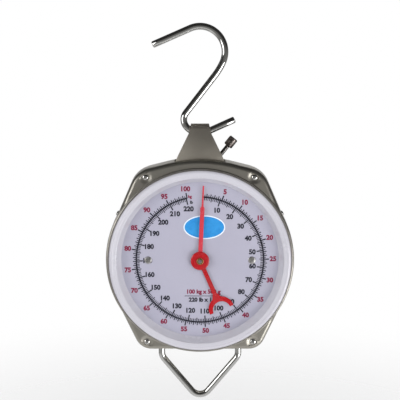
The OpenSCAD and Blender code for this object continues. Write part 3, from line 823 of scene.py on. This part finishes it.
figure_high, unit_high, capacity_high = 5.6, 3.4, 4.9
kilos_r, pounds_r = 85.4, 61.8
kilo_figures = [(str(kg), *on_circle(zero_angle + kg * degrees_per_kg, kilos_r), figure_high)
                for kg in range(5, 101, 5)]
kilo_figures += [("kg", -11.7, 74.9, unit_high),
                 ("100 kg x 500 g", capacity_x, -37.9, capacity_high)]
figures("kilogram_figures", kilo_figures, red_ink)
pound_figures = [(str(lb), *on_circle(zero_angle + lb / pounds_per_kg * degrees_per_kg, pounds_r),
                  figure_high) for lb in range(10, 221, 10)]
pound_figures += [("lb", -9.9, 68.2, unit_high),
                  ("220 lb x 1 lb", capacity_x, -47.6, capacity_high)]
figures("pound_figures", pound_figures, black_ink)


# ---- Badge ----
# A blue oval with a pale border, printed on the enamel in two passes, the pale one first. It
# is left plain.

badge_wide, badge_high = 23, 12.7
badge_x, badge_z = 5.1, 39


def oval(name, grow, y, thick, material):
    """A printed oval, grown by a border's width."""
    bpy.ops.object.select_all(action="DESELECT")
    bpy.ops.mesh.primitive_cylinder_add(vertices=72, radius=1, depth=thick * mm,
                                        location=(0, 0, 0))
    piece = bpy.context.object
    piece.name = name
    stretched = Matrix.Diagonal(((badge_wide + grow) * mm, (badge_high + grow) * mm, 1, 1))
    piece.data.transform(Matrix.Translation((badge_x * mm, y * mm, axis_z + badge_z * mm)) @
                         Matrix.Rotation(math.pi / 2, 4, "X") @ stretched)
    complete(piece, "scale", material)


oval("badge_border", 1.3, -20.02, 0.06, white_ink)
oval("badge_oval", 0.0, -20.05, 0.08, blue_ink)


# ---- Dial screws ----
# Two larger pan heads, nickel plated to a satin finish. They go through the dial at its left and
# right and hold it on its posts.

dial_screw_x, dial_front = 60.7 * mm, -20 * mm
dial_places = [Matrix.Translation((x, dial_front, axis_z)) @
               Matrix.Rotation(math.radians(45), 4, "Y") for x in (-dial_screw_x, dial_screw_x)]
# The near-black edge colour here is painted shade, not wear: it darkens the screw rims and the
# cross recess where shade falls.
satin_nickel_painted_edge_shade = finish("satin_nickel_painted_edge_shade", (0.62, 0.61, 0.60), (0.50, 0.49, 0.48), (0.34, 0.48),
                      stretch=(1500, 1500, 1500), bump=0.006, wear_and_shade=(0.12, 0.12, 0.12), marks=300.0)
complete(set_of("dial_face_screws", pan_head(4.4, 1.1, 1.6, 7), dial_places), "scale",
         satin_nickel_painted_edge_shade, ["dial_screws"])


# ---- Pointer ----
# Three pieces cut from thin sheet and one turned hub, all enamelled red. The long arm narrows to
# a needle, and the shorter arm ends in a fork. A small brass nut holds them on the arbor.

pointer_red = finish("pointer_red", (0.60, 0.045, 0.065), (0.54, 0.035, 0.055), (0.18, 0.34),
                     stretch=(700, 700, 700), metallic=0.0, bump=0.01, wear_and_shade=(0.45, 0.03, 0.03),
                     marks=60.0, coat=0.5)
pointer_deep = finish("pointer_deep_red", (0.44, 0.004, 0.009), (0.38, 0.003, 0.007), (0.18, 0.34),
                      stretch=(700, 700, 700), metallic=0.0, bump=0.01, wear_and_shade=(0.3, 0.01, 0.02),
                      marks=60.0, coat=0.5)
brass = finish("turned_brass", (0.70, 0.52, 0.22), (0.56, 0.40, 0.16), (0.16, 0.34),
               stretch=(300, 2200, 300), bump=0.008, wear_and_shade=(0.85, 0.7, 0.4), marks=120.0)
complete(softened("pointer", "needle", 0.15 * mm), "pointer_arbor", pointer_red,
         ["pointer"])
complete(softened("pointer_tail", "forked_tail", 0.15 * mm), "pointer_arbor",
         pointer_deep, ["pointer_tail"])
hub_profile = [(2.02, -25.2), (9.4, -25.2), (10.2, -25.05), (10.7, -24.7), (10.9, -24.2),
               (10.9, -23.6), (2.02, -23.6)]
complete(turned("hub_disc", hub_profile, z=axis_z, steps=64), "pointer_arbor",
         pointer_deep, ["pointer_hub"])
complete(softened("pointer_nut", "hub_nut", 0.25 * mm, 3), "pointer_arbor", brass,
         ["pointer_nut"])


# ---- Zero adjuster ----
# A darkened steel screw that leans out of the casing at the neck, with a knurled knob pressed on
# its end. Turning it by hand draws a nut along inside and brings the pointer to zero.

knob_steel = finish("knurled_steel", (0.22, 0.19, 0.175), (0.14, 0.12, 0.11), (0.26, 0.42),
                    stretch=(900, 900, 900), bump=0.01, wear_and_shade=(0.62, 0.56, 0.52), marks=150.0)
tilt = math.radians(39)
neck_x, neck_z = 23.6 * mm, 121.6 * mm
knob_turn = Matrix.Translation((neck_x, 0, axis_z + neck_z)) @ Matrix.Rotation(tilt, 4, "Y")
knurls, knob_rows, knob_r, knob_l, knob_from = 34, 34, 5.38, 12, 14
knob_chamfer, knurl_depth, cap_share = 0.9, 0.42, 0.86
knob_around = knurls * 4


def knurl_radius(step, row):
    """Radius of the knob: a chamfer at each end and crossed ridges between."""
    from_end = min(row, knob_rows - row) * knob_l / knob_rows
    chamfer = max(0, knob_chamfer - from_end)
    ridge = max(abs(math.sin(math.pi * (step / 4 + row / 4))),
                abs(math.sin(math.pi * (step / 4 - row / 4))))
    return knob_r - chamfer - knurl_depth * (1 - ridge) * (from_end > knob_chamfer)


bpy.ops.object.select_all(action="DESELECT")
bpy.ops.mesh.primitive_grid_add(x_subdivisions=knob_around, y_subdivisions=knob_rows + 4, size=1)
knob = bpy.context.object
knob.name = "knurled_knob"
for vertex in knob.data.vertices:
    step = round((vertex.co.x + 0.5) * knob_around)
    level = round((vertex.co.y + 0.5) * (knob_rows + 4))
    row = min(max(level - 2, 0), knob_rows)
    radius = knurl_radius(step, row)
    if level == 1 or level == knob_rows + 3:
        radius *= cap_share
    elif level == 0 or level == knob_rows + 4:
        radius = 0
    a = 2 * math.pi * step / knob_around
    vertex.co = (radius * math.cos(a) * mm, radius * math.sin(a) * mm,
                 (knob_from + row * knob_l / knob_rows) * mm)
knob.data.transform(knob_turn)
complete(knob, "zero_knob_body", knob_steel, ["zero_knob"], angle=24)

darkened_steel = finish("darkened_screw", (0.30, 0.28, 0.265), (0.20, 0.19, 0.18), (0.18, 0.34),
                        stretch=(900, 900, 4000), bump=0.02, wear_and_shade=(0.7, 0.68, 0.66), marks=120.0)
complete(softened("zero_screw", "zero_stem", 0.3 * mm), "zero_knob_body",
         darkened_steel, ["zero_screw"])


# ---- Springs ----
# Two coil springs of oiled 4 mm wire, wound cold. Their ends are screwed onto plugs. In the
# real scale their coils open as the load bar goes down; here they are built once, at rest.

oiled_wire = finish("oiled_spring_wire", (0.10, 0.10, 0.105), (0.055, 0.05, 0.05), (0.24, 0.42),
                    stretch=(700, 700, 700), bump=0.015, wear_and_shade=(0.3, 0.29, 0.28), marks=80.0)
spring_r, wire_r, turns, steps_per_turn = 10 * mm, 1.98 * mm, 18.5, 24
plug_overlap, end_gap = 4 * mm, 0.2 * mm
spring_low_z, spring_high_z = axis_z - 7 * mm, axis_z + 84 * mm
for name, spring_x in (("left", -30 * mm), ("right", 30 * mm)):
    bpy.ops.object.select_all(action="DESELECT")
    bpy.ops.mesh.primitive_circle_add(vertices=12, radius=wire_r, fill_type="NOTHING")
    coil = bpy.context.object
    coil.name = name + "_coils"
    coil.data.transform(Matrix.Translation((spring_r, 0, 0)) @ Matrix.Rotation(math.pi / 2, 4, "X"))
    sweep = coil.modifiers.new("sweep", "SCREW")
    sweep.axis = "Z"
    sweep.angle = 2 * math.pi * turns
    sweep.steps = int(turns * steps_per_turn)
    sweep.render_steps = sweep.steps
    sweep.screw_offset = spring_high_z - spring_low_z - 2 * wire_r - 2 * end_gap
    bpy.ops.object.modifier_apply(modifier=sweep.name)
    coil.data.transform(Matrix.Translation((spring_x, 0, spring_low_z + wire_r + end_gap)))
    bpy.ops.object.mode_set(mode="EDIT")
    bpy.ops.mesh.select_all(action="SELECT")
    bpy.ops.mesh.fill_holes(sides=12)
    bpy.ops.mesh.normals_make_consistent(inside=False)
    bpy.ops.object.mode_set(mode="OBJECT")
    bpy.ops.object.shade_smooth_by_angle(angle=math.radians(50))
    coil.data.materials.clear()
    coil.data.materials.append(oiled_wire)
    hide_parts(name + "_spring")
    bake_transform(coil)


# ---- Inner frame and movement ----
# Cast yoke and crossbar, rolled plates, zinc-plated screws and posts, brass gears and bushes, and
# a nylon guide behind the rack. They sit inside the casing.

zinc = finish("zinc_plate", (0.62, 0.63, 0.66), (0.50, 0.52, 0.58), (0.22, 0.40),
              stretch=(1100, 1100, 1100), bump=0.01, wear_and_shade=(0.75, 0.75, 0.76), marks=90.0)
cast_alloy = finish("cast_alloy", (0.46, 0.46, 0.46), (0.38, 0.38, 0.385), (0.42, 0.62),
                    stretch=(1500, 1500, 1500), bump=0.08, wear_and_shade=(0.66, 0.66, 0.67), marks=40.0)
plate_metal = finish("rolled_plate", (0.62, 0.63, 0.64), (0.54, 0.55, 0.56), (0.26, 0.42),
                     stretch=(60, 1200, 1200), bump=0.012, wear_and_shade=(0.74, 0.74, 0.75), marks=30.0)
nylon = finish("natural_nylon", (0.80, 0.80, 0.74), (0.74, 0.74, 0.67), (0.38, 0.52),
               stretch=(900, 900, 900), metallic=0.0, bump=0.02, marks=60.0)

softened_nodes = [("upper_yoke", "yoke_block", 0.8, "cast_alloy", cast_alloy, "scale"),
                  ("lower_crossbar", "crossbar_block", 0.8, "cast_alloy", cast_alloy, "load_bar"),
                  ("chassis_plate", "chassis_sheet", 0.25, "frame_plate", plate_metal, "scale"),
                  ("movement_plate", "movement_sheet", 0.25, "frame_plate", plate_metal, "scale"),
                  ("zero_bracket", "zero_cheeks", 0.3, "frame_plate", plate_metal, "scale"),
                  ("zero_nut", "zero_block", 0.4, "movement_brass", brass, "zero_nut_body"),
                  ("yoke_bolts", "hex_bolts", 0.3, "zinc_steel", zinc, "scale"),
                  ("upper_plug_nuts", "plug_nuts", 0.4, "zinc_steel", zinc, "scale"),
                  ("upper_spring_plugs", "upper_plugs", 0.5, "zinc_steel", zinc, "scale"),
                  ("lower_spring_plugs", "lower_plugs", 0.5, "zinc_steel", zinc, "load_bar"),
                  ("rack_guide", "nylon_guide", 0.3, "guide_nylon", nylon, "scale")]
for node_name, name, width, slot_name, material, body in softened_nodes:
    complete(softened(node_name, name, width * mm), body, material, [node_name])

kept_nodes = {zinc: ["chassis_screws", "front_posts", "rear_posts", "movement_screws",
                     "rack_screws", "arbor"],
              plate_metal: ["movement_pillars", "dial_posts"],
              brass: ["front_bush", "rear_bush", "pinion", "rack"]}
for material, names in kept_nodes.items():
    for node_name in names:
        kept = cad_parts[node_name]
        kept.data.materials.clear()
        kept.data.materials.append(material)


# ---- Floor and light ----
# A pale floor that fades into a white surround. Large soft lights stand low on the right, on the
# left and in front, and polished metal mirrors a room that is dark up to the left.

floor_drop, floor_r = 0.25, 1.6
floor_z = cad_box[0][2] - floor_drop
bpy.ops.object.select_all(action="DESELECT")
bpy.ops.mesh.primitive_circle_add(vertices=96, radius=floor_r, fill_type="NGON",
                                  location=(0, 0, 0))
floor = bpy.context.object
floor.name = "floor"
floor.data.transform(Matrix.Translation((0, 0, floor_z)))
pale = bpy.data.materials.new("pale_floor")
pale.use_nodes = True
pale_tree = pale.node_tree
pale_shader = pale_tree.nodes["Principled BSDF"]
pale_shader.inputs["Base Color"].default_value = (0.93, 0.93, 0.93, 1)
pale_shader.inputs["Roughness"].default_value = 0.8
floor_place = wire(pale_tree, "TexCoord", {})
flat_place = wire(pale_tree, "VectorMath", {0: floor_place.outputs["Object"], 1: (1, 1, 0)},
                  operation="MULTIPLY")
distance = wire(pale_tree, "VectorMath", {0: flat_place.outputs[0]}, operation="LENGTH")
fade = wire(pale_tree, "MapRange", {"Value": distance.outputs["Value"], "From Min": 0.25,
                                    "From Max": 1.2, "To Min": 0.55, "To Max": 0.0},
            interpolation_type="SMOOTHSTEP")
pale_tree.links.new(fade.outputs["Result"], pale_shader.inputs["Alpha"])
floor.data.materials.append(pale)

world = bpy.data.worlds.new("surround")
bpy.context.scene.world = world
world.use_nodes = True
sky = world.node_tree
sky_place = wire(sky, "TexCoord", {})
sides = wire(sky, "SeparateXYZ", {0: sky_place.outputs["Generated"]})
upward = wire(sky, "MapRange", {"Value": sides.outputs["Z"], "From Min": -1.0, "From Max": 1.0})
room = wire(sky, "ValToRGB", {0: upward.outputs["Result"]})
room_tones = [(0.0, 0.34), (0.30, 0.20), (0.42, 0.17), (0.54, 0.13), (0.66, 0.03), (1.0, 0.02)]
while len(room.color_ramp.elements) < len(room_tones):
    room.color_ramp.elements.new(0.5)
for element, (position, tone) in zip(room.color_ramp.elements, room_tones):
    element.position = position
    element.color = (tone, tone * 0.985, tone * 0.95, 1)
behind = wire(sky, "MapRange", {"Value": sides.outputs["Y"], "From Min": 0.78, "From Max": 0.97},
              interpolation_type="SMOOTHSTEP")
backed = wire(sky, "Mix", {"Factor": behind.outputs["Result"], "A": room.outputs["Color"]},
              data_type="RGBA")
backed.inputs["B"].default_value = (0.8, 0.8, 0.8, 1)
rays = wire(sky, "LightPath", {})
mirrored_room = wire(sky, "Mix", {"Factor": rays.outputs["Is Glossy Ray"],
                                  "B": backed.outputs["Result"]}, data_type="RGBA")
mirrored_room.inputs["A"].default_value = (0.62, 0.62, 0.63, 1)
seen = wire(sky, "Mix", {"Factor": rays.outputs["Is Camera Ray"],
                         "A": mirrored_room.outputs["Result"]}, data_type="RGBA")
seen.inputs["B"].default_value = (1.0, 1.0, 1.0, 1)
background = sky.nodes["Background"]
sky.links.new(seen.outputs["Result"], background.inputs["Color"])
background.inputs["Strength"].default_value = 1.0

softboxes = [("right_softbox", (0.95, -0.85, -0.75), 9.0, 0.75, True),
             ("front_softbox", (0.15, -1.3, 0.25), 5.0, 0.9, False),
             ("left_softbox", (-0.95, -0.7, -0.1), 4.0, 0.6, True)]
for name, stand, power, size, mirrored in softboxes:
    lamp_data = bpy.data.lights.new(name, "AREA")
    lamp_data.energy = power
    lamp_data.size = size
    lamp = bpy.data.objects.new(name, lamp_data)
    lamp.location = stand
    lamp.visible_glossy = mirrored
    aim = Vector((0, 0, axis_z)) - Vector(stand)
    lamp.rotation_euler = aim.to_track_quat("-Z", "Y").to_euler()
    bpy.context.scene.collection.objects.link(lamp)

bpy.context.scene.view_settings.view_transform = "Standard"
